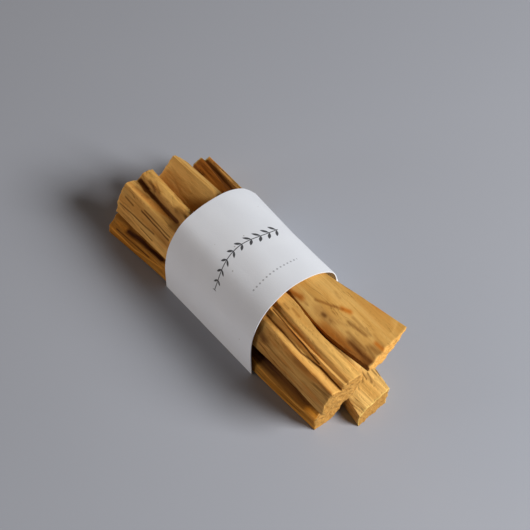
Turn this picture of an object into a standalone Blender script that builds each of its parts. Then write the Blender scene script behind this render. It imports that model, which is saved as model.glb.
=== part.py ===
"""A bundle of four split palo santo sticks, held together by one wrapped paper band.

The bundle lies on its side. The sticks run along X, with their front ends at +X. Seen from the front
ends, +Y is to the right and +Z is up. Tables are in millimetres, in a drawing frame whose Y and X
zeros lie inside the bundle; DRAWING_CENTRE moves them so that the origin is the middle of the
footprint, on the ground.
"""

import math

import bmesh
import bpy
from mathutils import Vector, noise

MM = 0.001
DRAWING_CENTRE = Vector((9.17, -9.56, 0.0))

# Sheet thickness of the band, and the clearance between pieces that touch.
PAPER = 0.3
GAP = 0.3
BAND_BACK_X = -14.1
BAND_FRONT_X = 27.3

# Underside of a low stick: on the paper inside the band, bowed down to the ground at the stick's ends.
ON_PAPER = PAPER + GAP + 0.05
ON_GROUND = 0.05

# Split wood: height and length of the ridges that follow the grain, and depth of the torn end faces.
RIDGE_HEIGHT = 0.32
RIDGE_LENGTH = 34.0
RIDGE_WIDTH = 2.1
TORN_DEPTH = 0.35
TORN_WIDTH = 2.4
# Ridges fade out on the last millimetres above the ground, where a stick lies flat.
FLAT_FOOT = 2.0

# Faces along a stick and round its outline, and how far in the rings of an end face lie.
STEPS_ALONG = 18
OUTLINE_STEP = 1.6
END_RINGS = (0.0, 0.42, 0.78)

# Faces round the band's wall, along the band and along its sole.
WALL_STEPS = 40
SOLE_STEPS = 5
BAND_STEPS = 4
# The glued lap lies low on the right wall, between these fractions of the wall's length from its foot.
LAP_FREE_EDGE = 0.075
LAP_HIDDEN_EDGE = 0.225
LAP_STEP = 0.0003
LAP_EASE = 0.02

# Each station is a place along X and the corners of the section there, as (Y, Z), listed from the lower
# left corner to the right along the underside and back over the top.
LOW_LEFT = {
    "seed": 3.0,
    "stations": (
        (-42.6, ((-28.9, ON_GROUND), (-18.2, ON_GROUND), (-15.6, 3.4), (-16.0, 8.2), (-21.5, 7.0),
                 (-27.6, 2.9))),
        (-14.0, ((-27.6, ON_PAPER), (-18.0, ON_PAPER), (-15.3, 4.0), (-16.2, 11.4), (-21.0, 10.9),
                 (-27.2, 8.6))),
        (27.3, ((-28.4, ON_PAPER), (-19.2, ON_PAPER), (-16.6, 4.4), (-17.6, 13.0), (-22.0, 12.2),
                (-28.2, 4.7))),
        (54.4, ((-27.9, ON_GROUND), (-20.8, ON_GROUND), (-17.6, 4.2), (-18.4, 11.8), (-23.0, 10.4),
                (-28.2, 7.1))),
    ),
    "back_lean": (0.10, -0.20),
    "front_lean": (0.04, 0.02),
}
TOP_LEFT = {
    "seed": 11.0,
    "stations": (
        (-40.6, ((-26.1, 9.6), (-21.0, 8.8), (-16.6, 9.8), (-13.9, 14.8), (-11.6, 20.2), (-13.4, 21.1),
                 (-14.6, 21.0), (-15.6, 20.8), (-17.0, 18.9), (-21.6, 21.2), (-24.2, 17.4))),
        (-14.0, ((-27.2, 12.2), (-23.0, 11.8), (-18.6, 12.8), (-16.7, 18.6), (-15.4, 25.6), (-16.8, 26.0),
                 (-17.8, 25.6), (-18.8, 25.6), (-20.5, 23.0), (-23.0, 22.0), (-25.8, 17.0))),
        (27.3, ((-28.2, 14.4), (-24.0, 13.4), (-19.0, 14.0), (-17.8, 22.0), (-14.8, 28.7), (-19.2, 28.6),
                (-20.2, 26.8), (-21.6, 27.4), (-22.9, 25.4), (-24.4, 24.9), (-27.1, 20.2))),
        (42.0, ((-27.8, 13.4), (-24.0, 12.6), (-18.6, 14.0), (-16.9, 22.0), (-17.0, 29.2), (-20.4, 28.4),
                (-21.4, 26.6), (-22.3, 27.3), (-23.5, 25.7), (-26.5, 26.7), (-28.0, 20.0))),
        (59.0, ((-28.7, 14.0), (-24.0, 13.2), (-18.2, 15.4), (-15.9, 22.4), (-16.4, 27.0), (-20.8, 26.9),
                (-21.6, 26.1), (-22.2, 25.8), (-23.3, 23.9), (-26.4, 25.2), (-28.6, 20.0))),
    ),
    "back_lean": (0.05, 0.04),
    "front_lean": (0.10, 0.10),
}
TOP_RIGHT = {
    "seed": 23.0,
    "stations": (
        (-38.8, ((-12.4, 14.6), (-8.0, 9.6), (1.2, 14.2), (-2.8, 20.6), (-3.5, 21.3), (-4.3, 22.0))),
        (-14.0, ((-14.6, 18.2), (-9.0, 11.7), (1.6, 13.7), (-4.6, 24.8), (-5.4, 25.4), (-6.3, 25.6))),
        (6.0, ((-15.2, 21.5), (-9.4, 12.8), (0.4, 14.2), (-2.6, 25.0), (-6.6, 27.0), (-10.6, 27.7))),
        (27.3, ((-15.8, 23.6), (-9.2, 15.4), (-1.4, 18.4), (0.0, 25.0), (-7.0, 28.0), (-14.2, 28.9))),
        (42.0, ((-14.3, 22.4), (-6.9, 16.0), (0.1, 19.0), (2.6, 24.7), (-5.3, 26.5), (-14.9, 26.8))),
        (57.2, ((-11.8, 20.4), (-4.6, 16.6), (1.6, 19.6), (5.3, 24.3), (-3.5, 24.7), (-12.2, 24.0))),
    ),
    "back_lean": (0.0, 0.0),
    "front_lean": (-0.15, 0.10),
}
LOW_RIGHT = {
    "seed": 37.0,
    "stations": (
        (-38.5, ((0.6, ON_GROUND), (9.4, ON_GROUND), (9.6, 11.0), (7.8, 9.8), (6.2, 12.9), (3.4, 11.8),
                 (2.0, 6.0))),
        (-14.0, ((-3.2, ON_PAPER), (7.8, ON_PAPER), (8.0, 12.0), (5.0, 10.4), (3.0, 13.0), (-0.6, 12.2),
                 (-2.4, 6.0))),
        (27.3, ((-11.2, ON_PAPER), (1.2, ON_PAPER), (1.4, 9.4), (-1.0, 8.8), (-2.6, 9.8), (-9.8, 8.0),
                (-10.9, 4.0))),
        (61.3, ((-17.4, ON_GROUND), (-6.2, ON_GROUND), (-4.7, 7.2), (-7.6, 7.0), (-11.4, 6.7), (-17.3, 5.4),
                (-17.6, 2.8))),
    ),
    "back_lean": (0.05, 0.0),
    "front_lean": (-0.04, 0.02),
}

# Outer face of the paper at its two edges, from the foot of the right wall, over the top, to the foot
# of the left wall. The sole joins the two feet on the ground.
BAND_BACK = (
    (9.7, 0.0), (10.0, 6.0), (9.2, 12.2), (7.6, 16.8), (5.4, 20.2), (2.9, 22.9), (-1.2, 25.6), (-5.2, 27.1),
    (-10.2, 27.7), (-15.2, 27.5), (-20.2, 26.2), (-23.8, 23.0), (-26.6, 18.1), (-28.1, 10.8), (-28.3, 0.0),
)
BAND_FRONT = (
    (3.0, 0.0), (4.5, 6.0), (5.1, 12.5), (4.4, 18.5), (3.6, 21.1), (2.5, 23.1), (0.1, 25.7), (-3.7, 28.4),
    (-9.3, 30.5), (-14.2, 31.3), (-19.1, 30.2), (-23.9, 27.4), (-27.3, 22.8), (-29.2, 16.0), (-29.3, 0.0),
)


def smooth_curve(knots, points, at):
    """The point at a knot value on a cubic curve through the points."""
    last = len(knots) - 1
    span = 0
    while span < last - 1 and at > knots[span + 1]:
        span += 1
    width = knots[span + 1] - knots[span]
    t = (at - knots[span]) / width
    slopes = []
    for knot in (span, span + 1):
        before, after = max(knot - 1, 0), min(knot + 1, last)
        slopes.append((points[after] - points[before]) * (width / (knots[after] - knots[before])))
    start, end = points[span], points[span + 1]
    bend = (end - start) * 3.0 - slopes[0] * 2.0 - slopes[1]
    turn = (start - end) * 2.0 + slopes[0] + slopes[1]
    return start + slopes[0] * t + bend * (t * t) + turn * (t * t * t)


def outward_normals(outline):
    """Unit normals of a closed outline that runs anticlockwise, and how much a mitre stretches there."""
    normals = []
    for index, point in enumerate(outline):
        before = (point - outline[index - 1]).normalized()
        after = (outline[(index + 1) % len(outline)] - point).normalized()
        across = Vector((before.y + after.y, -before.x - after.x)).normalized()
        stretch = 1.0 / max(across.dot(Vector((before.y, -before.x))), 0.5)
        normals.append((across, stretch))
    return normals


def section_corners(stations, x):
    """The corners of a stick's section at x, each on a smooth curve through the stations."""
    knots = [station[0] for station in stations]
    corners = []
    for corner in range(len(stations[0][1])):
        track = [Vector(station[1][corner]) for station in stations]
        corners.append(smooth_curve(knots, track, x))
    return corners


def side_counts(stations):
    """How many faces each side of the section is cut into, the same at every station."""
    corners = section_corners(stations, (stations[0][0] + stations[-1][0]) / 2)
    counts = []
    for index, corner in enumerate(corners):
        side = (corners[(index + 1) % len(corners)] - corner).length
        counts.append(max(1, round(side / OUTLINE_STEP)))
    return counts


def section_outline(stick, counts, x):
    """The section's outline at x, with the ridges of the split wood on it."""
    corners = section_corners(stick["stations"], x)
    plain = []
    for index, corner in enumerate(corners):
        following = corners[(index + 1) % len(corners)]
        for step in range(counts[index]):
            plain.append(corner.lerp(following, step / counts[index]))
    outline = []
    for index, (point, (normal, _)) in enumerate(zip(plain, outward_normals(plain))):
        place = Vector((x / RIDGE_LENGTH, index * OUTLINE_STEP / RIDGE_WIDTH, stick["seed"]))
        foot = min(1.0, max(0.0, (point.y - ON_PAPER) / FLAT_FOOT))
        outline.append(point + normal * (noise.noise(place) * RIDGE_HEIGHT * foot))
    return outline


def torn_end(stick, point, lean, middle):
    """How far the wood reaches past its nominal end, where it broke across the grain."""
    place = Vector((point.x / TORN_WIDTH, point.y / TORN_WIDTH, stick["seed"]))
    slant = (point.x - middle.x) * lean[0] + (point.y - middle.y) * lean[1]
    return slant + noise.noise(place) * TORN_DEPTH


def rolled_grid(name, rows, columns, place):
    """A closed mesh object from a grid whose vertex at (row, column) goes to place(row, column)."""
    shape = bmesh.new()
    bmesh.ops.create_grid(shape, x_segments=rows, y_segments=columns, size=1.0)
    for vert in shape.verts:
        row = round((vert.co.x + 1.0) / 2.0 * rows)
        column = round((vert.co.y + 1.0) / 2.0 * columns)
        vert.co = (place(row, column) - DRAWING_CENTRE) * MM
    bmesh.ops.remove_doubles(shape, verts=shape.verts, dist=0.002 * MM)
    bmesh.ops.dissolve_degenerate(shape, edges=shape.edges, dist=0.002 * MM)
    bmesh.ops.triangulate(shape, faces=shape.faces)
    bmesh.ops.recalc_face_normals(shape, faces=shape.faces)
    mesh = bpy.data.meshes.new(name)
    shape.to_mesh(mesh)
    shape.free()
    mesh.shade_smooth()
    mesh.set_sharp_from_angle(angle=math.radians(32.0))
    piece = bpy.data.objects.new(name, mesh)
    bpy.context.scene.collection.objects.link(piece)
    return piece


def split_stick(name, stick):
    """A stick: its sections lofted along the grain, closed at both ends by torn faces."""
    stations = stick["stations"]
    back_x, front_x = stations[0][0], stations[-1][0]
    counts = side_counts(stations)
    around = sum(counts)
    rings = len(END_RINGS)
    rows = []
    for step in range(STEPS_ALONG + 1):
        x = back_x + (front_x - back_x) * step / STEPS_ALONG
        outline = section_outline(stick, counts, x)
        rows.append((step / STEPS_ALONG, outline, sum(outline, Vector((0.0, 0.0))) / around))

    def place(row, column):
        """Rows run from the middle of the back end, along the sides, to the middle of the front end."""
        body_row = min(max(row - rings, 0), STEPS_ALONG)
        inset = min(row, STEPS_ALONG + 2 * rings - row)
        shrink = END_RINGS[inset] if inset < rings else 1.0
        along, outline, middle = rows[body_row]
        point = middle + (outline[column % around] - middle) * shrink
        back = back_x + torn_end(stick, point, stick["back_lean"], middle)
        front = front_x + torn_end(stick, point, stick["front_lean"], middle)
        return Vector((back + (front - back) * along, point.x, max(point.y, 0.0)))

    return rolled_grid(name, STEPS_ALONG + 2 * rings, around, place)


def chord_knots(points):
    """Running length along the points."""
    knots = [0.0]
    for before, after in zip(points, points[1:]):
        knots.append(knots[-1] + (after - before).length)
    return knots


def wall_fractions():
    """Where the wall is cut, as fractions of its length, with the two sides of the lap's free edge."""
    fractions = [step / WALL_STEPS for step in range(WALL_STEPS)]
    fractions = [f for f in fractions if abs(f - LAP_FREE_EDGE) > 0.4 / WALL_STEPS]
    return sorted(fractions + [LAP_FREE_EDGE, LAP_FREE_EDGE + LAP_STEP])


def lap_height(fraction):
    """Height of the second layer of paper where the band overlaps itself."""
    if fraction <= LAP_FREE_EDGE or fraction >= LAP_HIDDEN_EDGE:
        return 0.0
    return PAPER * min(1.0, (LAP_HIDDEN_EDGE - fraction) / LAP_EASE)


def band_outline(points, fractions):
    """Outer and inner face of the band at one edge, as two outlines of the same number of points."""
    wall = [Vector(point) for point in points]
    knots = chord_knots(wall)
    outline = [smooth_curve(knots, wall, fraction * knots[-1]) for fraction in fractions]
    for step in range(SOLE_STEPS):
        outline.append(wall[-1].lerp(wall[0], step / SOLE_STEPS))
    heights = [lap_height(fraction) for fraction in fractions] + [0.0] * SOLE_STEPS
    outer, inner = [], []
    for point, height, (normal, stretch) in zip(outline, heights, outward_normals(outline)):
        outer.append(point + normal * height)
        inner.append(point - normal * (PAPER * stretch))
    return outer, inner


def paper_band(name):
    """The sleeve of paper: straight lines run between its two edges, as in any rolled sheet."""
    fractions = wall_fractions()
    back_outer, back_inner = band_outline(BAND_BACK, fractions)
    front_outer, front_inner = band_outline(BAND_FRONT, fractions)
    around = len(back_outer)
    rows = 2 * BAND_STEPS + 2

    def place(row, column):
        """Rows run along the outer face to the front edge, then back along the inner face."""
        row = row % rows
        column = column % around
        outside = row <= BAND_STEPS
        step = row if outside else 2 * BAND_STEPS + 1 - row
        along = step / BAND_STEPS
        back = (back_outer if outside else back_inner)[column]
        front = (front_outer if outside else front_inner)[column]
        point = back.lerp(front, along)
        return Vector((BAND_BACK_X + (BAND_FRONT_X - BAND_BACK_X) * along, point.x, point.y))

    return rolled_grid(name, rows, around, place)


def finish_with(piece, name, colour, roughness):
    """Gives the piece its own material."""
    material = bpy.data.materials.new(name)
    material.use_nodes = True
    surface = material.node_tree.nodes["Principled BSDF"]
    surface.inputs["Base Color"].default_value = (*colour, 1.0)
    surface.inputs["Roughness"].default_value = roughness
    surface.inputs["Metallic"].default_value = 0.0
    piece.data.materials.append(material)


def main():
    for thing in list(bpy.data.objects):
        bpy.data.objects.remove(thing)
    finish_with(split_stick("stick_low_left", LOW_LEFT), "umber_wood", (0.33, 0.14, 0.03), 0.65)
    finish_with(split_stick("stick_top_left", TOP_LEFT), "golden_wood", (0.53, 0.29, 0.08), 0.6)
    finish_with(split_stick("stick_top_right", TOP_RIGHT), "pale_wood", (0.57, 0.33, 0.11), 0.6)
    finish_with(split_stick("stick_low_right", LOW_RIGHT), "amber_wood", (0.5, 0.26, 0.06), 0.6)
    finish_with(paper_band("paper_band"), "white_paper", (0.68, 0.7, 0.73), 0.85)


main()
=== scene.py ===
"""The look of the bundle: four split sticks with their grain and torn fibres, and a printed paper band."""

import math

import bmesh
import bpy
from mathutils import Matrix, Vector, noise


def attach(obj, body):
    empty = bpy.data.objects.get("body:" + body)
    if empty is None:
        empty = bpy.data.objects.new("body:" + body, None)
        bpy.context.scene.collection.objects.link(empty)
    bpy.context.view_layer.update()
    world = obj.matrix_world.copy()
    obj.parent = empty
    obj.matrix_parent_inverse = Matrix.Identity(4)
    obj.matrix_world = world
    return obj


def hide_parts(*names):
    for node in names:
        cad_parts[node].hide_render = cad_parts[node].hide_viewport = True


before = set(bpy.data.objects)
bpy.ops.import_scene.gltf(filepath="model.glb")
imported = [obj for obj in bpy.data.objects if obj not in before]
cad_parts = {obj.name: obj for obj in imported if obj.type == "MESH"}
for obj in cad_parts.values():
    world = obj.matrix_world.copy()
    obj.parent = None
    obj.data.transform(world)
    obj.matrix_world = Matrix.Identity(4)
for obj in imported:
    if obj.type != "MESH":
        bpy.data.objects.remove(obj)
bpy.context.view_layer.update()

# Sizes are in millimetres, except where a comment says metres. Places are in a drawing frame, and
# DRAWING_CENTRE is the point of it that is the origin of the shared frame.
MM = 0.001
DRAWING_CENTRE = Vector((9.17, -9.56, 0.0))

# Thickness of the paper, the two edges of the band along X, and how high the underside of a low stick
# lies where it is on the paper and where it is beside it.
PAPER = 0.3
BAND_BACK_X = -14.1
BAND_FRONT_X = 27.3
ON_PAPER = 0.65
ON_GROUND = 0.05

# Points round a stick per broad ridge step, rows along a stick and rings on an end face.
FINE = 8
ROWS = 250
RINGS = 22
# How often the corners of a section are softened, and the spacing of the broad ridges' steps.
CORNER_PASSES = 2
OUTLINE_STEP = 1.6

# Broad ridges along a stick, and the height above its underside over which all its relief grows.
RIDGE_HEIGHT = 0.32
RIDGE_LENGTH = 34.0
RIDGE_WIDTH = 2.1
FLAT_FOOT = 2.0

# Fine fibres in two sizes, and the open cracks between them.
WIDE_LENGTH = 26.0
WIDE_WIDTH = 0.85
WIDE_HEIGHT = 0.16
NARROW_LENGTH = 15.0
NARROW_WIDTH = 0.38
NARROW_HEIGHT = 0.07
CRACK_LENGTH = 33.0
CRACK_SPACING = 1.5
CRACK_DEPTH = 0.16
# Where the noise is nearer to 0 than this, there is a crack.
CRACK_SHARE = 0.035
# Inside the band the fibres keep this share of their height. It grows to all of it over this way.
PRESSED = 0.25
PRESSED_EASE = 3.0
# Painted shade in the grooves between the fibres: how dark it is for each millimetre of their depth.
GROOVE_PAINTED_SHADE = 6.0

# The slow unevenness of a torn end, its tufts and single fibres, and the gaps where fibres are missing.
TORN_WIDTH = 2.4
TORN_DEPTH = 0.35
TUFT_WIDTH = 1.1
TUFT_REACH = 0.24
FIBRE_WIDTH = 0.34
FIBRE_REACH = 0.14
GAP_WIDTH = 0.8
GAP_HEIGHT = 0.5
GAP_FROM = 0.25
GAP_DEPTH = 0.6
# The unevenness of the torn fibres dies away over this length of the sides.
TORN_LENGTH = 1.2
# How far the outermost fibres of an end are worn back, from which share of the way to its outline, and
# over which length of the sides.
RIM = 0.2
RIM_FROM = 0.9
RIM_LENGTH = 0.5

# How far a coloured vein strays, and over which length and width it does so once.
WANDER = 0.15
WANDER_LENGTH = 5.0
WANDER_WIDTH = 2.0
# Past the ends of a vein, a way along the grain counts for this share, so that it fades out longer.
VEIN_END_SHARE = 0.75

# Each station is a place along X and the corners of the section there, as (Y, Z), from the lower left
# corner to the right along the underside and back over the top. A tone list gives the darkness of the
# wood at the same corners, and below 0 it is paler. At some corners it is painted shade, and at one it
# is painted lighter to offset the shade of a groove, as marked below. A vein is a coloured line on the
# wood: its half width, its darkness, its orange tint and then the points that it runs through. Each is a
# place along X and a place round the section, where 4.5 is halfway from corner 4 to corner 5, counted
# from 0. Some veins are not in the wood but are painted shade and painted highlights, as marked below.
# A lean is how much further along X an end face lies for each millimetre to the right and each one up,
# and the coarseness scales the fine fibres.
LOW_LEFT = {
    "seed": 3.0,
    "stations": (
        (-42.6, ((-28.9, ON_GROUND), (-18.2, ON_GROUND), (-15.6, 3.4), (-16.0, 8.2), (-21.5, 7.0),
                 (-27.6, 2.9))),
        (-14.0, ((-27.6, ON_PAPER), (-18.0, ON_PAPER), (-15.3, 4.0), (-16.2, 11.4), (-21.0, 10.9),
                 (-27.2, 8.6))),
        (27.3, ((-28.4, ON_PAPER), (-19.2, ON_PAPER), (-16.6, 4.4), (-17.6, 13.0), (-22.0, 12.2),
                (-28.2, 4.7))),
        (54.4, ((-27.9, ON_GROUND), (-20.8, ON_GROUND), (-17.6, 4.2), (-18.4, 11.8), (-23.0, 10.4),
                (-28.2, 7.1))),
    ),
    "tones_and_painted_shade": (
        (-42.6, (0.2, 0.3, 0.3, 0.6, 0.6, 0.15)),
        (-14.0, (0.2, 0.3, 0.3, 0.6, 0.7, 0.1)),
        # At the front, corners 3 and 4 are the top under the top left stick: dark wood, and painted shade
        # from that stick.
        (27.3, (0.15, 0.3, 0.4, 1.4, 1.3, 0.35)),
        (54.4, (0.1, 0.3, 0.4, 1.4, 0.9, 0.2)),
    ),
    "veins_shade_and_highlights": (
        # Painted shade, with dark wood, on the top under the top left stick.
        (2.6, 0.35, 0.3, (27, 4.7), (50, 4.7)),
        # Painted highlight along the edge between the top and the left side.
        (0.4, -1.0, 0.3, (26, 4.9), (40, 5.1), (48, 5.2), (51, 5.0)),
        (0.6, -0.25, 0.4, (30, 5.9), (53, 5.9)),
        (0.5, 0.45, 0.0, (29, 5.5), (35, 5.7), (48, 5.6)),
        (1.9, -1.0, 1.2, (51, 4.9), (54, 5.0)),
        (0.5, -0.9, 0.3, (-41, 5.4), (-30, 5.7), (-17, 5.4)),
        (1.4, -0.2, 0.5, (-40, 4.8), (-36, 4.8)),
        # These two are painted shade under the top left stick, at the back.
        (1.6, 0.9, 0.0, (-34, 4.8), (-17, 4.9)),
        (0.5, 0.85, 0.0, (-39, 5.1), (-23, 5.4)),
    ),
    "back_lean": (0.10, -0.20),
    "front_lean": (0.04, 0.02),
    "coarseness": 0.8,
}
TOP_LEFT = {
    "seed": 11.0,
    "stations": (
        (-40.6, ((-26.1, 9.6), (-21.0, 8.8), (-16.6, 9.8), (-13.9, 14.8), (-11.6, 20.2), (-13.4, 21.1),
                 (-14.6, 21.0), (-15.6, 20.8), (-17.0, 18.9), (-21.6, 21.2), (-24.2, 17.4))),
        (-14.0, ((-27.2, 12.2), (-23.0, 11.8), (-18.6, 12.8), (-16.7, 18.6), (-15.4, 25.6), (-16.8, 26.0),
                 (-17.8, 25.6), (-18.8, 25.6), (-20.5, 23.0), (-23.0, 22.0), (-25.8, 17.0))),
        (27.3, ((-28.2, 14.4), (-24.0, 13.4), (-19.0, 14.0), (-17.8, 22.0), (-14.8, 28.7), (-19.2, 28.6),
                (-20.2, 26.8), (-21.6, 27.4), (-22.9, 25.4), (-24.4, 24.9), (-27.1, 20.2))),
        (42.0, ((-27.8, 13.4), (-24.0, 12.6), (-18.6, 14.0), (-16.9, 22.0), (-17.0, 29.2), (-20.4, 28.4),
                (-21.4, 26.6), (-22.3, 27.3), (-23.5, 25.7), (-26.5, 26.7), (-28.0, 20.0))),
        (59.0, ((-28.7, 14.0), (-24.0, 13.2), (-18.2, 15.4), (-15.9, 22.4), (-16.4, 27.0), (-20.8, 26.9),
                (-21.6, 26.1), (-22.2, 25.8), (-23.3, 23.9), (-26.4, 25.2), (-28.6, 20.0))),
    ),
    "tones_and_painted_shade": (
        # Corner 8 is the floor of the groove: painted shade at the back, and from the band's front edge on
        # painted lighter to offset the shade of its walls.
        (-40.6, (0.2, 0.3, 0.3, 0.3, 0.0, 0.0, 0.0, 0.0, 0.5, 0.0, 0.1)),
        (-14.0, (0.2, 0.3, 0.3, 0.3, 0.2, 0.0, 0.2, 0.2, 0.5, 0.1, 0.15)),
        (27.3, (0.4, 0.3, 0.3, 0.3, 0.0, 0.0, 0.0, 0.0, -0.3, 0.1, 0.35)),
        (59.0, (0.4, 0.3, 0.3, 0.3, 0.0, 0.0, 0.0, 0.0, -0.3, 0.1, 0.35)),
    ),
    "veins_shade_and_highlights": (
        # These two are dark lines along the two grooves at the front: painted shade in them.
        (0.5, 1.2, 0.2, (27, 6.5), (41, 7.1), (49, 7.5)),
        (0.6, 1.4, 0.0, (27, 8.0), (43, 8.2), (50, 7.8), (59, 7.9)),
        # Painted highlight along the top right ridge.
        (1.0, -0.4, 0.0, (27, 4.0), (48, 4.3)),
        (0.8, 0.7, 0.1, (28, 4.7), (30, 4.7)),
        (0.8, 0.6, 0.1, (31, 4.5), (34, 4.5)),
        (1.2, -0.2, 0.15, (27, 9.1), (35, 8.8), (57, 8.7)),
        (0.9, 0.4, 0.0, (36, 8.3), (38, 8.3)),
        (2.6, 0.45, 0.2, (27, 9.6), (31, 9.9)),
        (2.4, 0.3, 0.0, (44, 9.2), (48, 9.1)),
        (1.8, 0.3, 0.0, (52, 8.9), (57, 9.2)),
        (0.4, -0.35, 0.0, (31, 10.2), (40, 10.2)),
        (0.4, 0.45, 0.0, (30, 10.4), (39, 10.7)),
        (0.4, 0.4, 0.0, (33, 10.0), (42, 10.0)),
        (3.2, -0.4, 0.0, (27, 4.6), (59, 4.4)),
        # These two are painted shade along the floor of the groove at the back.
        (1.8, 1.0, 0.0, (-39, 7.9), (-35, 8.1)),
        (1.1, 1.0, 0.0, (-35, 8.1), (-18, 7.9)),
        (1.0, 0.6, 0.0, (-36, 6.7), (-32, 7.4)),
        (0.7, 0.45, 0.0, (-34, 5.6), (-30, 7.1)),
        (1.0, -0.5, 0.1, (-40, 9.0), (-19, 9.0)),
        (1.4, 0.35, 0.0, (-37, 8.6), (-32, 8.5)),
        (0.6, 0.85, 0.0, (-39, 10.4), (-22, 10.1)),
        (0.5, 1.0, 0.0, (-30, 9.6), (-16, 9.6)),
        (0.45, 0.8, 0.0, (-29, 9.4), (-16, 9.4)),
        (0.45, 0.85, 0.0, (-28, 10.6), (-22, 10.6)),
        (0.5, 0.85, 0.0, (-38, 9.8), (-34, 9.8)),
        (1.0, -0.3, 0.0, (-40, 10.6), (-16, 10.8)),
        (1.8, 0.2, 0.0, (-40, 9.5), (-37, 9.6)),
        (1.8, -0.2, 0.0, (-31, 4.9), (-24, 5.9)),
        (1.8, 0.6, 0.2, (-20, 6.6), (-17, 6.2)),
        (0.7, 0.5, 0.1, (-26, 4.1), (-17, 5.3)),
        (2.6, -0.5, 0.0, (-41, 5.0), (-14, 4.8)),
    ),
    "back_lean": (0.05, 0.04),
    "front_lean": (0.10, 0.10),
    "coarseness": 0.7,
}
TOP_RIGHT = {
    "seed": 23.0,
    "stations": (
        (-38.8, ((-12.4, 14.6), (-8.0, 9.6), (1.2, 14.2), (-2.8, 20.6), (-3.5, 21.3), (-4.3, 22.0))),
        (-14.0, ((-14.6, 18.2), (-9.0, 11.7), (1.6, 13.7), (-4.6, 24.8), (-5.4, 25.4), (-6.3, 25.6))),
        (6.0, ((-15.2, 21.5), (-9.4, 12.8), (0.4, 14.2), (-2.6, 25.0), (-6.6, 27.0), (-10.6, 27.7))),
        (27.3, ((-15.8, 23.6), (-9.2, 15.4), (-1.4, 18.4), (0.0, 25.0), (-7.0, 28.0), (-14.2, 28.9))),
        (42.0, ((-14.3, 22.4), (-6.9, 16.0), (0.1, 19.0), (2.6, 24.7), (-5.3, 26.5), (-14.9, 26.8))),
        (57.2, ((-11.8, 20.4), (-4.6, 16.6), (1.6, 19.6), (5.3, 24.3), (-3.5, 24.7), (-12.2, 24.0))),
    ),
    "tones_and_painted_shade": (
        (-38.8, (0.1, 0.2, 0.2, 0.0, 0.0, 0.0)),
        # From the band's front edge on, corners 0 and 5 bound the side that faces the top left stick:
        # painted shade between the sticks.
        (27.3, (0.5, 0.3, 0.2, 0.0, 0.05, 0.25)),
        (40.0, (0.8, 0.3, 0.2, 0.0, 0.0, 0.3)),
        (57.2, (0.8, 0.3, 0.2, 0.0, 0.0, 0.45)),
    ),
    "veins_shade_and_highlights": (
        (0.9, 0.5, 0.3, (33, 4.4), (40, 4.0)),
        (1.4, 0.15, 1.0, (40, 4.0), (42, 3.9)),
        (0.8, 0.4, 0.1, (44, 4.0), (51, 4.1)),
        (0.9, 0.5, 0.1, (44, 4.2), (50, 4.2)),
        (1.5, 0.85, 0.0, (37.5, 4.6), (38, 4.6)),
        (3.0, 0.3, 0.2, (36, 4.6), (40, 4.6)),
        (0.8, 0.5, 0.0, (40, 4.6), (40.5, 4.6)),
        (0.9, 0.2, 0.0, (41, 4.5), (45, 4.3)),
        (2.0, 0.4, 1.0, (26, 5.0), (29, 4.8)),
        (0.8, 0.3, 0.2, (30, 4.8), (32, 4.8)),
        (1.4, 0.15, 0.9, (39, 5.2), (43, 4.9), (50, 4.9)),
        (0.8, 0.5, 0.4, (43, 5.1), (52, 4.9)),
        # Painted shade on the side that faces the top left stick.
        (2.0, 0.55, 0.4, (38, 5.4), (42, 5.8), (47, 5.9)),
        (2.8, 0.6, 0.2, (49, 4.7), (58, 4.9)),
        (0.9, 0.4, 0.1, (46, 4.5), (53, 4.6)),
        (3.4, 0.3, 0.7, (41, 4.9), (58, 4.9)),
        (0.8, 0.5, 0.0, (51, 4.9), (58, 5.0)),
        (1.2, 0.45, 0.1, (53, 4.5), (58, 4.7)),
        (1.2, 0.15, 1.0, (54, 4.2), (57, 4.2)),
        (1.8, 0.4, 0.2, (54, 4.4), (57, 4.4)),
        (0.9, 0.2, 0.1, (35, 3.6), (37, 3.7)),
        (0.8, 0.25, 0.1, (52, 4.0), (56, 4.1)),
        (0.5, 0.6, 0.0, (34, 3.0), (37, 3.0)),
        (0.9, 0.0, 0.5, (45, 3.0), (49, 3.0)),
        (2.2, -0.3, 0.0, (54, 3.1), (55, 3.5)),
        (0.5, -0.7, 0.0, (-30, 5.7), (-19, 5.7)),
        # Painted shade next to the back edge of the band.
        (2.6, 0.35, 0.2, (-25, 5.7), (-19, 5.5)),
        # Painted highlight along the right edge.
        (1.0, -0.35, 0.0, (-37, 4.9), (-17, 4.7)),
        (9.0, -1.0, 0.0, (-39, 5.5), (-22, 5.5)),
    ),
    "back_lean": (0.0, 0.0),
    "front_lean": (-0.15, 0.10),
    "coarseness": 0.35,
}
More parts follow.
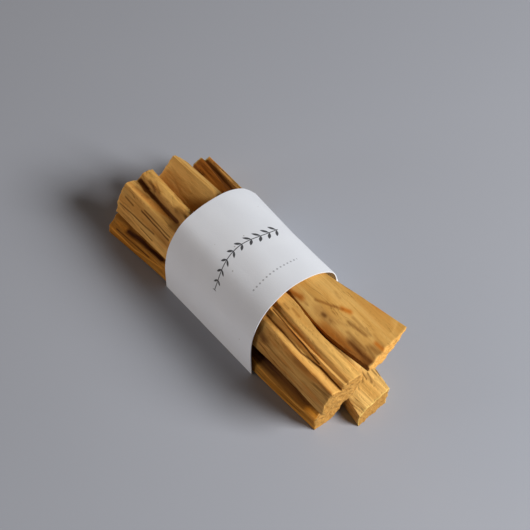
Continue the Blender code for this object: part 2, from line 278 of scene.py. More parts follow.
LOW_RIGHT = {
    "seed": 37.0,
    "stations": (
        (-38.5, ((0.6, ON_GROUND), (9.4, ON_GROUND), (9.6, 11.0), (7.8, 9.8), (6.2, 12.9), (3.4, 11.8),
                 (2.0, 6.0))),
        (-14.0, ((-3.2, ON_PAPER), (7.8, ON_PAPER), (8.0, 12.0), (5.0, 10.4), (3.0, 13.0), (-0.6, 12.2),
                 (-2.4, 6.0))),
        (27.3, ((-11.2, ON_PAPER), (1.2, ON_PAPER), (1.4, 9.4), (-1.0, 8.8), (-2.6, 9.8), (-9.8, 8.0),
                (-10.9, 4.0))),
        (61.3, ((-17.4, ON_GROUND), (-6.2, ON_GROUND), (-4.7, 7.2), (-7.6, 7.0), (-11.4, 6.7), (-17.3, 5.4),
                (-17.6, 2.8))),
    ),
    "tones_and_painted_shade": (
        (-38.5, (0.3, 0.3, 0.1, 0.5, 0.4, 0.3, 0.3)),
        (-14.0, (0.3, 0.3, 0.1, 0.6, 0.4, 0.3, 0.4)),
        (27.3, (0.3, 0.3, 0.1, 0.1, 0.1, 0.2, 0.4)),
        (61.3, (0.3, 0.3, 0.0, 0.0, 0.0, 0.0, 0.4)),
    ),
    "veins_shade_and_highlights": (
        (2.0, 0.95, 0.0, (-38, 3.4), (-36, 3.0), (-26, 3.7), (-23, 3.7)),
        (1.4, 0.0, 1.2, (-38, 4.8), (-33, 5.0)),
        (0.9, -0.5, 0.5, (-38, 2.3), (-22, 2.2)),
        (2.0, 0.3, 0.6, (-35, 4.8), (-25, 4.8)),
        (2.2, 0.4, 0.0, (-25, 4.3), (-23, 4.1)),
        (0.8, 0.3, 0.1, (-36, 4.3), (-33, 4.4)),
        (2.4, 0.9, 0.2, (-38, 3.0), (-14, 3.0)),
        (8.0, 0.35, 1.3, (-38, 4.3), (-14, 4.3)),
        (0.4, 0.7, 0.0, (52, 3.5), (54, 3.5)),
        (0.4, 0.7, 0.0, (53, 3.1), (56, 3.2)),
        (0.5, 0.6, 0.0, (53, 2.5), (55, 2.4)),
        (0.5, 0.7, 0.0, (54, 2.1), (56, 2.1)),
        (0.4, 0.6, 0.0, (53, 3.7), (54, 4.0)),
        (0.4, 0.6, 0.0, (54, 4.2), (55, 4.3)),
        (0.4, 0.6, 0.0, (55, 5.0), (56, 5.2)),
    ),
    "back_lean": (0.05, 0.0),
    "front_lean": (-0.04, 0.02),
    "coarseness": 1.0,
}

# Outer face of the paper at its two edges, from the foot of the right wall, over the top, to the foot
# of the left wall. The sole joins the two feet on the ground.
BAND_BACK = (
    (9.7, 0.0), (10.0, 6.0), (9.2, 12.2), (7.6, 16.8), (5.4, 20.2), (2.9, 22.9), (-1.2, 25.6), (-5.2, 27.1),
    (-10.2, 27.7), (-15.2, 27.5), (-20.2, 26.2), (-23.8, 23.0), (-26.6, 18.1), (-28.1, 10.8), (-28.3, 0.0),
)
BAND_FRONT = (
    (3.0, 0.0), (4.5, 6.0), (5.1, 12.5), (4.4, 18.5), (3.6, 21.1), (2.5, 23.1), (0.1, 25.7), (-3.7, 28.4),
    (-9.3, 30.5), (-14.2, 31.3), (-19.1, 30.2), (-23.9, 27.4), (-27.3, 22.8), (-29.2, 16.0), (-29.3, 0.0),
)
# Steps of the band's mesh round its wall, round its sole and from edge to edge.
WALL_STEPS = 320
SOLE_STEPS = 60
BAND_STEPS = 120
# The second layer of paper lies between two places on the wall, the free edge and the hidden edge. It
# stands up within LAP_STEP of the first, and comes down over LAP_EASE before the second. All four are
# shares of the wall's length.
LAP_FREE_EDGE = 0.075
LAP_HIDDEN_EDGE = 0.225
LAP_STEP = 0.0003
LAP_EASE = 0.02
# Slack waves of the paper. They bulge away from the middle of the band and fade out over its foot.
BAND_MIDDLE = Vector((-10.0, 14.0))
WAVE_LENGTH = 14.0
WAVE_WIDTH = 9.0
WAVE_HEIGHT = 0.22
WAVE_FROM = -0.15
WAVE_FOOT = 6.0

# Points nearer than this are one point, and a fold sharper than this has a hard edge.
MERGE = 0.001
HARD_EDGE = math.radians(50.0)

# Colours of the wood: pale, middle, dark and orange. All torn ends are coloured from PALE and MID.
PALE = (0.80, 0.44, 0.118)
MID = (0.62, 0.29, 0.062)
DARK = (0.10, 0.030, 0.004)
ORANGE = (0.58, 0.16, 0.008)
UMBER_WOOD = ((0.58, 0.26, 0.040), (0.40, 0.15, 0.015), (0.055, 0.012, 0.0005), (0.64, 0.22, 0.010))
GOLDEN_WOOD = (PALE, MID, DARK, ORANGE)
SAPWOOD = ((0.72, 0.42, 0.12), (0.60, 0.31, 0.072), DARK, ORANGE)
AMBER_WOOD = ((1.0, 0.62, 0.19), (0.92, 0.51, 0.13), DARK, ORANGE)

# The patterns in the wood's colour: how long each is along the grain and how wide across it, in metres.
BAND_GRAIN = (0.034, 0.0034, 0.0034)
STREAK_GRAIN = (0.020, 0.0011, 0.0011)
HAIR_GRAIN = (0.009, 0.00026, 0.00026)
WARM_GRAIN = (0.015, 0.0034, 0.0034)
RESIN_GRAIN = (0.026, 0.0020, 0.0020)
FLECK_GRAIN = (0.0022, 0.00026, 0.00026)
PATCH_GRAIN = (0.010, 0.0040, 0.0040)
TUFT_GRAIN = (0.004, 0.0009, 0.0004)
CHIP_GRAIN = (0.004, 0.0030, 0.0008)
GRAIN_RELIEF = 0.00016

# The paper's own patterns, in metres, and its colours.
CLOUD = (0.009, 0.009, 0.009)
PULP = (0.0004, 0.0004, 0.0004)
SPECKS = (0.006, 0.006, 0.006)
PULP_RELIEF = 0.00003
GREY_PAPER = (0.76, 0.78, 0.82)
WHITE_PAPER = (0.81, 0.83, 0.86)
INK = (0.02, 0.02, 0.024)
FAINT_INK = (0.10, 0.10, 0.11)
SPECK = (0.24, 0.2, 0.17)

# The printed sprig: where its stem lies from the back edge, and its two ends round the band.
STEM_ALONG = 20.6
STEM_FROM = 29.0
STEM_TO = 59.0
STEM_EASE = 0.3
STEM_OUTSIDE = 0.2
STEM_INSIDE = 0.1
# Its leaves: the distance from pair to pair, how far a leaf's middle is from the stem, its half length
# and half width, its slant, and how much smaller the last pair is than the first.
LEAF_PITCH = 3.2
LEAF_OFFSET = 1.25
LEAF_LENGTH = 1.55
LEAF_WIDTH = 0.52
LEAF_SLANT = math.radians(42.0)
LEAF_EDGE = 0.04
SPRIG_TAPER = 0.45
# The dotted rule: where it lies from the back edge, its two ends round the band, and its dots.
RULE_ALONG = 33.6
RULE_FROM = 33.0
RULE_TO = 51.2
RULE_EASE = 0.2
DOT_PITCH = 1.35
DOT_OUTSIDE = 0.36
DOT_INSIDE = 0.24

# The board under the bundle: half its side, and its mottling, in metres.
BOARD_HALF = 3.0
MOTTLE = (0.12, 0.12, 0.12)
DARK_BOARD = (0.392, 0.408, 0.450)
LIGHT_BOARD = (0.412, 0.428, 0.468)

# The camera looks at the origin of the drawing frame. Its distance is in metres.
CAMERA_AZIMUTH = math.radians(48.85)
CAMERA_ELEVATION = math.radians(55.0)
CAMERA_DISTANCE = 0.5016
CAMERA_LENS = 108.68
CAMERA_SENSOR = 36.0
CAMERA_NEAR = 0.01


def smooth_curve(knots, points, at):
    """The point at a knot value on a cubic curve through the points."""
    last = len(knots) - 1
    span = 0
    while span < last - 1 and at > knots[span + 1]:
        span += 1
    width = knots[span + 1] - knots[span]
    t = (at - knots[span]) / width
    slopes = []
    for knot in (span, span + 1):
        before, after = max(knot - 1, 0), min(knot + 1, last)
        slopes.append((points[after] - points[before]) * (width / (knots[after] - knots[before])))
    start, end = points[span], points[span + 1]
    bend = (end - start) * 3.0 - slopes[0] * 2.0 - slopes[1]
    turn = (start - end) * 2.0 + slopes[0] + slopes[1]
    return start + slopes[0] * t + bend * (t * t) + turn * (t * t * t)


def outward_normals(outline):
    """Unit normals of a closed outline that runs anticlockwise, and how much a mitre stretches there."""
    normals = []
    for index, point in enumerate(outline):
        before = (point - outline[index - 1]).normalized()
        after = (outline[(index + 1) % len(outline)] - point).normalized()
        across = Vector((before.y + after.y, -before.x - after.x)).normalized()
        stretch = 1.0 / max(across.dot(Vector((before.y, -before.x))), 0.5)
        normals.append((across, stretch))
    return normals


def eased(value):
    """A value from 0 to 1, with both ends of its course made smooth."""
    value = min(1.0, max(0.0, value))
    return value * value * (3.0 - 2.0 * value)


def softened(values):
    """A closed run of values, each drawn a little towards its neighbours."""
    count = len(values)
    return [(values[i - 1] + values[i] * 2.0 + values[(i + 1) % count]) * 0.25 for i in range(count)]


def streaky(x, point, length, width, shift_y=0.0, shift_z=0.0):
    """Noise from -1 to 1 that is drawn out along the bundle."""
    return noise.noise(Vector((x / length, point.x / width + shift_y, point.y / width + shift_z)))


def mottled(point, width, height, layer):
    """Noise from -1 to 1 over an end face."""
    return noise.noise(Vector((point.x / width, point.y / height, layer)))


def section_corners(stations, x):
    """The corners of a stick's section at x, each on a smooth curve through the stations."""
    knots = [station[0] for station in stations]
    corners = []
    for corner in range(len(stations[0][1])):
        track = [Vector(station[1][corner]) for station in stations]
        corners.append(smooth_curve(knots, track, x))
    return corners


def corner_tones_and_painted_shade(tones_and_painted_shade, x):
    """The darkness of the wood at each corner of the section at x, with painted shade at some corners."""
    after = 1
    while after < len(tones_and_painted_shade) - 1 and x > tones_and_painted_shade[after][0]:
        after += 1
    (low_x, low), (high_x, high) = tones_and_painted_shade[after - 1], tones_and_painted_shade[after]
    share = min(1.0, max(0.0, (x - low_x) / (high_x - low_x)))
    return [a + (b - a) * share for a, b in zip(low, high)]


def side_counts(stations):
    """How many broad ridge steps each side of the section has, the same at every station."""
    corners = section_corners(stations, (stations[0][0] + stations[-1][0]) / 2)
    counts = []
    for index, corner in enumerate(corners):
        side = (corners[(index + 1) % len(corners)] - corner).length
        counts.append(max(1, round(side / OUTLINE_STEP)))
    return counts


def broad_ridges(seed, coarse, x):
    """Height of the broad ridges at each fine point of the outline at x."""
    heights = []
    for index in range(coarse):
        place = Vector((x / RIDGE_LENGTH, index * OUTLINE_STEP / RIDGE_WIDTH, seed))
        heights.append(noise.noise(place) * RIDGE_HEIGHT)
    fine = []
    for index in range(coarse):
        following = heights[(index + 1) % coarse]
        for step in range(FINE):
            fine.append(heights[index] + (following - heights[index]) * step / FINE)
    return fine


def splinters(x, point, seed, coarseness):
    """Height of the fine fibres at a point of the surface, negative in the grooves between them."""
    wide = streaky(x, point, WIDE_LENGTH, WIDE_WIDTH, 0.0, seed)
    narrow = streaky(x, point, NARROW_LENGTH, NARROW_WIDTH, seed, 0.0)
    split = streaky(x, point, CRACK_LENGTH, CRACK_SPACING, 0.0, -seed)
    crack = max(0.0, 1.0 - abs(split) / CRACK_SHARE)
    return (wide * WIDE_HEIGHT + narrow * NARROW_HEIGHT - crack * CRACK_DEPTH) * coarseness


def place_on(corners, place):
    """The point of a section at a place round it, counted in corners."""
    before = math.floor(place)
    after = (before + 1) % len(corners)
    return corners[before].lerp(corners[after], place - before)


def veins_shade_and_highlights_near(veins_shade_and_highlights, corners, x):
    """The parts of the veins, painted shade and painted highlights that reach the section at x."""
    near = []
    for width, darkness, warmth, *knots in veins_shade_and_highlights:
        for (start_x, start), (end_x, end) in zip(knots, knots[1:]):
            if start_x - 2.0 * width < x < end_x + 2.0 * width:
                share = min(1.0, max(0.0, (x - start_x) / (end_x - start_x)))
                along = (x - start_x - (end_x - start_x) * share) * VEIN_END_SHARE
                spot = place_on(corners, start + (end - start) * share)
                near.append((along, spot, width, darkness, warmth))
    return near


def veins_shade_and_highlights_at(near, point):
    """Darkness and orange tint at a point of the section, from veins, painted shade and highlights."""
    dark, light, warm = 0.0, 0.0, 0.0
    for along, spot, width, darkness, warmth in near:
        away = math.hypot(along, point.x - spot.x, point.y - spot.y)
        if away < width:
            soft = eased(1.0 - away / width)
            dark = max(dark, darkness * soft)
            light = min(light, darkness * soft)
            warm = max(warm, warmth * soft)
    return dark + light, warm


def stick_row(stick, counts, x):
    """The outline at x with all its fibres, its middle, and the colour marks at each point."""
    seed = stick["seed"]
    corners = section_corners(stick["stations"], x)
    corner_shades = corner_tones_and_painted_shade(stick["tones_and_painted_shade"], x)
    plain, shades = [], []
    for index, corner in enumerate(corners):
        after = (index + 1) % len(corners)
        steps = counts[index] * FINE
        for step in range(steps):
            plain.append(corner.lerp(corners[after], step / steps))
            change = corner_shades[after] - corner_shades[index]
            shades.append(corner_shades[index] + change * step / steps)
    for _ in range(CORNER_PASSES):
        plain = softened(plain)
    middle = sum(plain, Vector((0.0, 0.0))) / len(plain)
    ridges = broad_ridges(seed, sum(counts), x)
    from_band = max(BAND_BACK_X - x, x - BAND_FRONT_X)
    free = PRESSED + (1.0 - PRESSED) * eased(from_band / PRESSED_EASE)
    near = veins_shade_and_highlights_near(stick["veins_shade_and_highlights"], corners, x)
    outline, marks = [], []
    for point, ridge, shade, (normal, _) in zip(plain, ridges, shades, outward_normals(plain)):
        foot = min(1.0, max(0.0, (point.y - ON_PAPER) / FLAT_FOOT))
        fibre = splinters(x, point, seed, stick["coarseness"]) * free
        outline.append(point + normal * ((ridge + fibre) * foot))
        wander = streaky(x, point, WANDER_LENGTH, WANDER_WIDTH) * WANDER
        dark, warm = veins_shade_and_highlights_at(near, point + Vector((wander, wander)))
        # The second mark is painted shade in the grooves between the fibres.
        marks.append((shade + dark, max(0.0, -fibre) * GROOVE_PAINTED_SHADE, warm))
    return outline, middle, marks


def torn_end(seed, point, lean, middle):
    """How far the wood reaches past its nominal end, where it broke across the grain."""
    slant = (point.x - middle.x) * lean[0] + (point.y - middle.y) * lean[1]
    return slant + mottled(point, TORN_WIDTH, TORN_WIDTH, seed) * TORN_DEPTH


def broken_fibres(point, seed):
    """How far single fibres stand out of an end face or are missing from it."""
    tuft = mottled(point, TUFT_WIDTH, TUFT_WIDTH, seed * 1.7)
    fibre = mottled(point, FIBRE_WIDTH, FIBRE_WIDTH, seed * 2.3)
    gap = max(0.0, mottled(point, GAP_WIDTH, GAP_HEIGHT, seed * 3.1) - GAP_FROM)
    return tuft * TUFT_REACH + fibre * FIBRE_REACH - gap * GAP_DEPTH


def rolled_grid(name, rows, columns, marks, place):
    """A closed mesh from a grid whose vertex at (row, column) goes to place(row, column).

    place gives the point in the drawing frame, then a vector for each of the named marks.
    """
    shape = bmesh.new()
    bmesh.ops.create_grid(shape, x_segments=rows, y_segments=columns, size=1.0)
    layers = [shape.verts.layers.float_vector.new(mark) for mark in marks]
    for vert in shape.verts:
        row = round((vert.co.x + 1.0) / 2.0 * rows)
        column = round((vert.co.y + 1.0) / 2.0 * columns)
        point, *values = place(row, column)
        vert.co = (point - DRAWING_CENTRE) * MM
        for layer, value in zip(layers, values):
            vert[layer] = value
    bmesh.ops.remove_doubles(shape, verts=shape.verts, dist=MERGE * MM)
    bmesh.ops.dissolve_degenerate(shape, edges=shape.edges, dist=MERGE * MM)
    bmesh.ops.recalc_face_normals(shape, faces=shape.faces)
    mesh = bpy.data.meshes.new(name)
    shape.to_mesh(mesh)
    shape.free()
    mesh.shade_smooth()
    mesh.set_sharp_from_angle(angle=HARD_EDGE)
    piece = bpy.data.objects.new(name, mesh)
    bpy.context.scene.collection.objects.link(piece)
    return piece


def split_stick(name, stick):
    """A split stick with fibres along its sides and torn ends."""
    stations = stick["stations"]
    seed = stick["seed"]
    back_x, front_x = stations[0][0], stations[-1][0]
    length = front_x - back_x
    counts = side_counts(stations)
    around = sum(counts) * FINE
    rows = [stick_row(stick, counts, back_x + length * step / ROWS) for step in range(ROWS + 1)]

    def place(row, column):
        """Rows run from the middle of the back end, along the sides, to the middle of the front end."""
        body_row = min(max(row - RINGS, 0), ROWS)
        inset = min(row, ROWS + 2 * RINGS - row)
        shrink = min(1.0, inset / RINGS)
        along = body_row / ROWS
        outline, middle, marks = rows[body_row]
        column = column % around
        point = middle + (outline[column] - middle) * shrink
        back = back_x + torn_end(seed, point, stick["back_lean"], middle)
        front = front_x + torn_end(seed, point, stick["front_lean"], middle)
        torn = broken_fibres(point, seed)
        back_tear = torn * math.exp(-along * length / TORN_LENGTH)
        front_tear = torn * math.exp(-(1.0 - along) * length / TORN_LENGTH)
        side = -1.0 if along < 0.5 else 1.0
        from_end = min(along, 1.0 - along) * length
        worn = RIM * eased((shrink - RIM_FROM) / (1.0 - RIM_FROM)) * eased(1.0 - from_end / RIM_LENGTH)
        x = back + (front - back) * along + front_tear - back_tear - side * worn
        shade, depth, warm = marks[column]
        end = 1.0 if inset < RINGS else 0.0
        spot = Vector((x, point.x, max(point.y, ON_GROUND)))
        return spot, Vector((shade, depth, end)), Vector((warm, from_end, 0.0))

    return rolled_grid(name, ROWS + 2 * RINGS, around, ("wood", "tint"), place)


def chord_knots(points):
    """Running length along the points."""
    knots = [0.0]
    for before, after in zip(points, points[1:]):
        knots.append(knots[-1] + (after - before).length)
    return knots


def lap_height(fraction):
    """Height of the second layer of paper where the band overlaps itself."""
    if fraction <= LAP_FREE_EDGE or fraction >= LAP_HIDDEN_EDGE:
        return 0.0
    return PAPER * min(1.0, (LAP_HIDDEN_EDGE - fraction) / LAP_EASE)


def band_outline(points, fractions):
    """Outer and inner face of the band at one edge, and the running length round it."""
    wall = [Vector(point) for point in points]
    knots = chord_knots(wall)
    outline = [smooth_curve(knots, wall, fraction * knots[-1]) for fraction in fractions]
    for step in range(SOLE_STEPS):
        outline.append(wall[-1].lerp(wall[0], step / SOLE_STEPS))
    heights = [lap_height(fraction) for fraction in fractions] + [0.0] * SOLE_STEPS
    outer, inner = [], []
    for point, height, (normal, stretch) in zip(outline, heights, outward_normals(outline)):
        outer.append(point + normal * height)
        inner.append(point - normal * (PAPER * stretch))
    return outer, inner, chord_knots(outline)


def paper_band(name):
    """The sleeve of paper, wrapped round the sticks and glued to itself."""
    fractions = [step / WALL_STEPS for step in range(WALL_STEPS)]
    fractions = sorted(fractions + [LAP_FREE_EDGE + LAP_STEP])
    back_outer, back_inner, back_run = band_outline(BAND_BACK, fractions)
    front_outer, front_inner, front_run = band_outline(BAND_FRONT, fractions)
    around = len(back_outer)
    rows = 2 * BAND_STEPS + 2
    width = BAND_FRONT_X - BAND_BACK_X

    def place(row, column):
        """Rows run along the outer face to the front edge, then back along the inner face."""
        row = row % rows
        column = column % around
        outside = row <= BAND_STEPS
        step = row if outside else 2 * BAND_STEPS + 1 - row
        along = step / BAND_STEPS
        back = (back_outer if outside else back_inner)[column]
        front = (front_outer if outside else front_inner)[column]
        point = back.lerp(front, along)
        x = BAND_BACK_X + width * along
        run = back_run[column] + (front_run[column] - back_run[column]) * along
        out = (point - BAND_MIDDLE).normalized()
        wave = max(0.0, streaky(x, point, WAVE_LENGTH, WAVE_WIDTH) - WAVE_FROM)
        point = point + out * (wave * WAVE_HEIGHT * eased(point.y / WAVE_FOOT))
        return Vector((x, point.x, point.y)), Vector((width * along, run, 1.0 if outside else 0.0))

    return rolled_grid(name, rows, around, ("sheet",), place)


class Field:
    """A value of the shader that can be used in plain arithmetic."""

    def __init__(self, surface, socket):
        self.surface = surface
        self.socket = socket

    def maths(self, operation, *others, flip=False):
        """One step of arithmetic between this value and others."""
        terms = [*others, self] if flip else [self, *others]
        return self.surface.node("ShaderNodeMath", {"operation": operation}, dict(enumerate(terms)))

    def __add__(self, other):
        return self.maths("ADD", other)

    def __radd__(self, other):
        return self.maths("ADD", other)

    def __sub__(self, other):
        return self.maths("SUBTRACT", other)

    def __rsub__(self, other):
        return self.maths("SUBTRACT", other, flip=True)

    def __mul__(self, other):
        return self.maths("MULTIPLY", other)

    def __rmul__(self, other):
        return self.maths("MULTIPLY", other)

    def __truediv__(self, other):
        return self.maths("DIVIDE", other)

    def step(self, low, high):
        """0 below low and 1 above high, smooth between them; the other way round if low is above high."""
        start, end = (1.0, 0.0) if low > high else (0.0, 1.0)
        return self.surface.node("ShaderNodeMapRange", {"interpolation_type": "SMOOTHSTEP"},
                                 {"Value": self, "From Min": min(low, high), "From Max": max(low, high),
                                  "To Min": start, "To Max": end}, "Result")

    def clamped(self):
        """The value kept between 0 and 1."""
        return self.maths("MAXIMUM", 0.0).maths("MINIMUM", 1.0)


class Surface:
    """A material under construction."""

    def __init__(self, name, roughness, specular):
        self.material = bpy.data.materials.new(name)
        self.material.use_nodes = True
        self.tree = self.material.node_tree
        self.shader = self.tree.nodes["Principled BSDF"]
        self.feed(self.shader.inputs["Roughness"], roughness)
        self.feed(self.shader.inputs["Specular IOR Level"], specular)

    def feed(self, socket, value):
        """Links a field to a socket, or sets the socket to a plain value."""
        if isinstance(value, Field):
            self.tree.links.new(value.socket, socket)
        elif isinstance(value, tuple) and socket.type == "RGBA":
            socket.default_value = (*value, 1.0)
        else:
            socket.default_value = value

    def node(self, kind, settings=None, inputs=None, output=0):
        """The value that comes out of any node: its settings are made first, then its sockets."""
        made = self.tree.nodes.new(kind)
        for key, value in (settings or {}).items():
            setattr(made, key, value)
        for key, value in (inputs or {}).items():
            self.feed(made.inputs[key], value)
        if output == "all":
            return [Field(self, socket) for socket in made.outputs]
        return Field(self, made.outputs[output])

    def mixed(self, share, first, second, blend="MIX"):
        """A colour between two colours."""
        return self.node("ShaderNodeMix", {"data_type": "RGBA", "blend_type": blend},
                         {0: share, 6: first, 7: second}, 2)

    def place(self):
        """Where a point of the surface is, in metres."""
        return self.node("ShaderNodeTexCoord", output="Object")

    def marks(self, name):
        """The three values that the mesh holds under a name."""
        vector = self.node("ShaderNodeAttribute", {"attribute_name": name}, output="Vector")
        return self.node("ShaderNodeSeparateXYZ", {}, {0: vector}, "all")

    def stretched(self, place, sizes, offset=(0.0, 0.0, 0.0)):
        """The place in a pattern whose grain has these sizes, in metres."""
        return self.node("ShaderNodeMapping", {"vector_type": "POINT"},
                         {"Vector": place, "Scale": tuple(1.0 / s for s in sizes), "Location": offset})

    def noise(self, place, sizes, offset, detail=2.0, distortion=0.0):
        """Noise from 0 to 1 with a grain of these sizes."""
        return self.node("ShaderNodeTexNoise", {"noise_dimensions": "3D"},
                         {"Vector": self.stretched(place, sizes, offset), "Scale": 1.0, "Detail": detail,
                          "Distortion": distortion})

    def finish(self, colour, height=None, depth=None):
        """Links the colour and, where there is one, the relief, whose depth is in metres."""
        self.feed(self.shader.inputs["Base Color"], colour)
        if height is not None:
            bump = self.node("ShaderNodeBump", {}, {"Strength": 1.0, "Distance": depth, "Height": height})
            self.feed(self.shader.inputs["Normal"], bump)
        return self.material


def shaded(colour, share):
    """A colour made lighter or darker."""
    return tuple(min(1.0, part * share) for part in colour)


def wood(name, seed, colours, figure, amber, end_tone_and_shade):
    """Split wood: soft grain bands, resin lines, coloured veins, painted shade and highlights, and a torn
    end.

    colours are the pale, the middle, the dark and the orange tone of the wood, figure is how wavy the
    resin lines run, amber how much orange shows between them, end_tone_and_shade how light the torn ends
    are, partly as painted shade among their rough fibres.
    """
    pale, mid, dark, orange = colours
    # A paler colour for pale wood and frayed fibres, and for the painted highlights on some edges.
    light = shaded(pale, 1.35)
    surface = Surface(name, roughness=0.7, specular=0.08)
    place = surface.place()
    shade, depth, end = surface.marks("wood")
    warmth, from_end, _ = surface.marks("tint")
    shift = (seed, seed * 0.7, seed * 1.3)
    bands = surface.noise(place, BAND_GRAIN, shift, distortion=0.3)
    streak = surface.noise(place, STREAK_GRAIN, shift, detail=3.0)
    hair = surface.noise(place, HAIR_GRAIN, shift)
    glow = surface.noise(place, WARM_GRAIN, shift, distortion=0.5)
    resin = surface.noise(place, RESIN_GRAIN, (seed + 5.0, seed, seed), distortion=figure)
    fleck = surface.noise(place, FLECK_GRAIN, shift, detail=0.0)
    patchy = surface.noise(place, PATCH_GRAIN, (seed, seed + 9.0, seed), detail=1.0)
    # The split sides: bands, streaks, orange clouds and resin lines, then the tones and veins that the
    # mesh holds, with painted shade and painted highlights among them.
    colour = surface.mixed(bands.step(0.30, 0.62), mid, pale)
    colour = surface.mixed(streak.step(0.50, 0.70) * 0.4, colour, mid)
    colour = surface.mixed(glow.step(0.52, 0.72) * amber, colour, orange)
    line = (resin - 0.5).maths("ABSOLUTE").step(0.03, 0.0)
    colour = surface.mixed(line * 0.5 * patchy.step(0.5, 0.62), colour, dark)
    colour = surface.mixed(warmth.clamped() * 0.9, colour, orange)
    # Dark tones and veins: the wood's dark colour, and painted shade where the tables mark it.
    colour = surface.mixed((shade * (0.65 + streak * 0.7)).clamped(), colour, dark)
    # Tones and veins below 0: paler wood, and painted highlights where the tables mark it.
    colour = surface.mixed((shade * -1.0).clamped(), colour, light)
    colour = surface.mixed(fleck.step(0.72, 0.80) * 0.22 * patchy.step(0.42, 0.6), colour, dark)
    # Painted shade in the grooves between the fibres, darker where they are deeper.
    colour = surface.mixed(depth.clamped() * 0.5, colour, dark)
    # The torn ends: pale tufts with darker chips. How light they are is set per stick, partly as painted
    # shade among their rough fibres.
    tufts = surface.noise(place, TUFT_GRAIN, shift, detail=3.0)
    chips = surface.noise(place, CHIP_GRAIN, shift, detail=1.0)
    end_colour = surface.mixed(tufts.step(0.25, 0.75), shaded(MID, end_tone_and_shade), shaded(PALE, end_tone_and_shade))
    end_colour = surface.mixed(chips.step(0.62, 0.74) * 0.4, end_colour, dark)
    colour = surface.mixed(end, colour, end_colour)
    # The last bit of the sides is frayed and pale.
    frayed = from_end.step(0.9, 0.0) * 0.35
    colour = surface.mixed(frayed * (1.0 - end), colour, light)
    # Hair-fine lines make all of it a little lighter and darker, and give it its relief.
    lift = 0.90 + hair * 0.2
    value = surface.node("ShaderNodeCombineXYZ", {}, {0: lift, 1: lift, 2: lift})
    colour = surface.mixed(1.0, colour, value, "MULTIPLY")
    return surface.finish(colour, hair * 0.6 + streak * 0.4, GRAIN_RELIEF)


def sprig(along, around):
    """The print of the sprig: a wavy stem that runs round the band, with pairs of pointed leaves."""
    sway = (around * 0.24).maths("SINE") * 0.9 + (around * 0.11 + 1.0).maths("SINE") * 0.7
    off = (along - (STEM_ALONG + sway)).maths("ABSOLUTE")
    inside = around.step(STEM_FROM - STEM_EASE, STEM_FROM) * around.step(STEM_TO + STEM_EASE, STEM_TO)
    stem = off.step(STEM_OUTSIDE, STEM_INSIDE) * inside
    turn = (around - STEM_FROM) / LEAF_PITCH
    cell = (turn.maths("FRACT") - 0.5) * LEAF_PITCH
    reach = 1.0 - (around - STEM_FROM) / (STEM_TO - STEM_FROM) * SPRIG_TAPER
    across = (off - LEAF_OFFSET * reach) / reach
    cosine, sine = math.cos(LEAF_SLANT), math.sin(LEAF_SLANT)
    long_way = across * cosine + cell * sine / reach
    short_way = cell * cosine / reach - across * sine
    bulge = 1.0 - (long_way / LEAF_LENGTH) * (long_way / LEAF_LENGTH)
    leaf = (bulge * LEAF_WIDTH - short_way.maths("ABSOLUTE")).step(-LEAF_EDGE, LEAF_EDGE) * inside
    return stem.maths("MAXIMUM", leaf)


def dotted_rule(along, around):
    """The print of the row of dots near the front edge."""
    dot = ((around / DOT_PITCH).maths("FRACT") - 0.5) * DOT_PITCH
    gap = ((along - RULE_ALONG) * (along - RULE_ALONG) + dot * dot).maths("SQRT")
    begun = around.step(RULE_FROM, RULE_FROM + RULE_EASE)
    ended = around.step(RULE_TO, RULE_TO - RULE_EASE)
    return gap.step(DOT_OUTSIDE, DOT_INSIDE) * begun * ended


def paper(name):
    """Uncoated paper with a few specks, a printed sprig and a row of dots."""
    surface = Surface(name, roughness=0.85, specular=0.2)
    place = surface.place()
    along, around, outside = surface.marks("sheet")
    cloud = surface.noise(place, CLOUD, (3.0, 1.0, 2.0))
    pulp = surface.noise(place, PULP, (1.0, 1.0, 2.0))
    colour = surface.mixed(cloud, GREY_PAPER, WHITE_PAPER)
    colour = surface.mixed(sprig(along, around) * outside * 0.93, colour, INK)
    colour = surface.mixed(dotted_rule(along, around) * outside * 0.55, colour, FAINT_INK)
    speck = surface.node("ShaderNodeTexVoronoi", {"feature": "F1"},
                         {"Vector": surface.stretched(place, SPECKS), "Scale": 1.0})
    colour = surface.mixed(speck.step(0.06, 0.03) * 0.5, colour, SPECK)
    return surface.finish(colour, pulp, PULP_RELIEF)


def table_top(name):
    """Plain painted board, slightly mottled."""
    surface = Surface(name, roughness=0.8, specular=0.2)
    cloud = surface.noise(surface.place(), MOTTLE, (0.0, 0.0, 0.0), detail=3.0)
    return surface.finish(surface.mixed(cloud, DARK_BOARD, LIGHT_BOARD))


def floor():
    """The surface that the bundle lies on."""
    shape = bmesh.new()
    bmesh.ops.create_grid(shape, x_segments=1, y_segments=1, size=BOARD_HALF)
    mesh = bpy.data.meshes.new("table_top")
    shape.to_mesh(mesh)
    shape.free()
    piece = bpy.data.objects.new("table_top", mesh)
    bpy.context.scene.collection.objects.link(piece)
    mesh.materials.append(table_top("pale_board"))


def area_light(name, direction, distance, size, power, colour):
    """A soft square light that points at the bundle, with its distance and size in metres."""
    light = bpy.data.lights.new(name, "AREA")
    light.shape = "SQUARE"
    light.size = size
    light.energy = power
    light.color = colour
    lamp = bpy.data.objects.new(name, light)
    way = Vector(direction).normalized()
    lamp.location = way * distance
    lamp.rotation_euler = way.to_track_quat("Z", "Y").to_euler()
    bpy.context.scene.collection.objects.link(lamp)


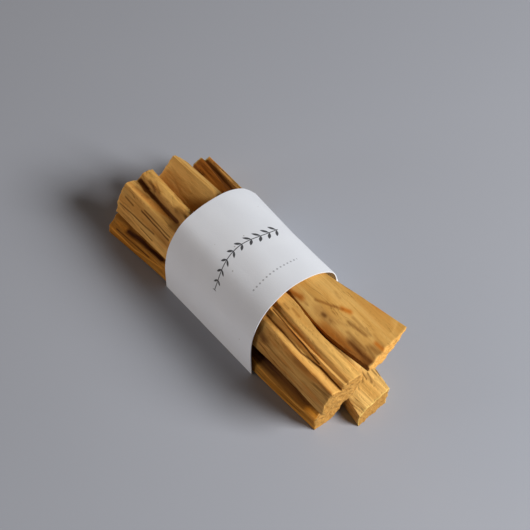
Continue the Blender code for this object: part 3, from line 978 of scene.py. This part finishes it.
def studio():
    """A soft key light from beyond the front ends, two weak fills from the back left, and a dim room."""
    area_light("key", direction=(1.28, 0.65, 1.0), distance=0.85, size=0.36, power=9.4,
               colour=(0.985, 0.987, 1.0))
    area_light("fill", direction=(-0.53, -0.84, 0.07), distance=1.0, size=0.3, power=3.1,
               colour=(0.93, 0.96, 1.0))
    area_light("warm_fill", direction=(-0.84, -0.50, 0.15), distance=1.0, size=0.5, power=2.1,
               colour=(1.0, 0.66, 0.40))
    room = bpy.data.worlds.new("room")
    room.use_nodes = True
    background = room.node_tree.nodes["Background"]
    background.inputs["Color"].default_value = (1.0, 0.94, 0.90, 1.0)
    background.inputs["Strength"].default_value = 0.045
    bpy.context.scene.world = room
    bpy.context.scene.view_settings.view_transform = "Standard"


def camera():
    """The photograph's point of view."""
    level = math.cos(CAMERA_ELEVATION)
    to_camera = Vector((level * math.sin(CAMERA_AZIMUTH), -level * math.cos(CAMERA_AZIMUTH),
                        math.sin(CAMERA_ELEVATION)))
    eye = bpy.data.cameras.new("eye")
    eye.lens = CAMERA_LENS
    eye.sensor_width = CAMERA_SENSOR
    eye.clip_start = CAMERA_NEAR
    viewer = bpy.data.objects.new("eye", eye)
    viewer.location = to_camera * CAMERA_DISTANCE - DRAWING_CENTRE * MM
    viewer.rotation_euler = to_camera.to_track_quat("Z", "Y").to_euler()
    bpy.context.scene.collection.objects.link(viewer)
    bpy.context.scene.camera = viewer


def build(name, stick, node, material):
    """One stick in place of its frame node."""
    piece = split_stick(name, stick)
    piece.data.materials.append(material)
    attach(piece, "root")
    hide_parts(node)


def main():
    """The whole picture: four sticks, their band, the board, the lights and the camera."""
    build("low_left_stick", LOW_LEFT, "stick_low_left",
          wood("dark_split_wood", LOW_LEFT["seed"], UMBER_WOOD, figure=0.4, amber=0.55, end_tone_and_shade=0.75))
    build("top_left_stick", TOP_LEFT, "stick_top_left",
          wood("golden_split_wood", TOP_LEFT["seed"], GOLDEN_WOOD, figure=0.4, amber=0.45, end_tone_and_shade=0.78))
    build("top_right_stick", TOP_RIGHT, "stick_top_right",
          wood("pale_split_wood", TOP_RIGHT["seed"], SAPWOOD, figure=1.5, amber=0.12, end_tone_and_shade=1.05))
    build("low_right_stick", LOW_RIGHT, "stick_low_right",
          wood("amber_split_wood", LOW_RIGHT["seed"], AMBER_WOOD, figure=0.6, amber=0.35, end_tone_and_shade=0.68))
    band = paper_band("wrapped_band")
    band.data.materials.append(paper("printed_paper"))
    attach(band, "root")
    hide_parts("paper_band")
    floor()
    studio()
    camera()


main()
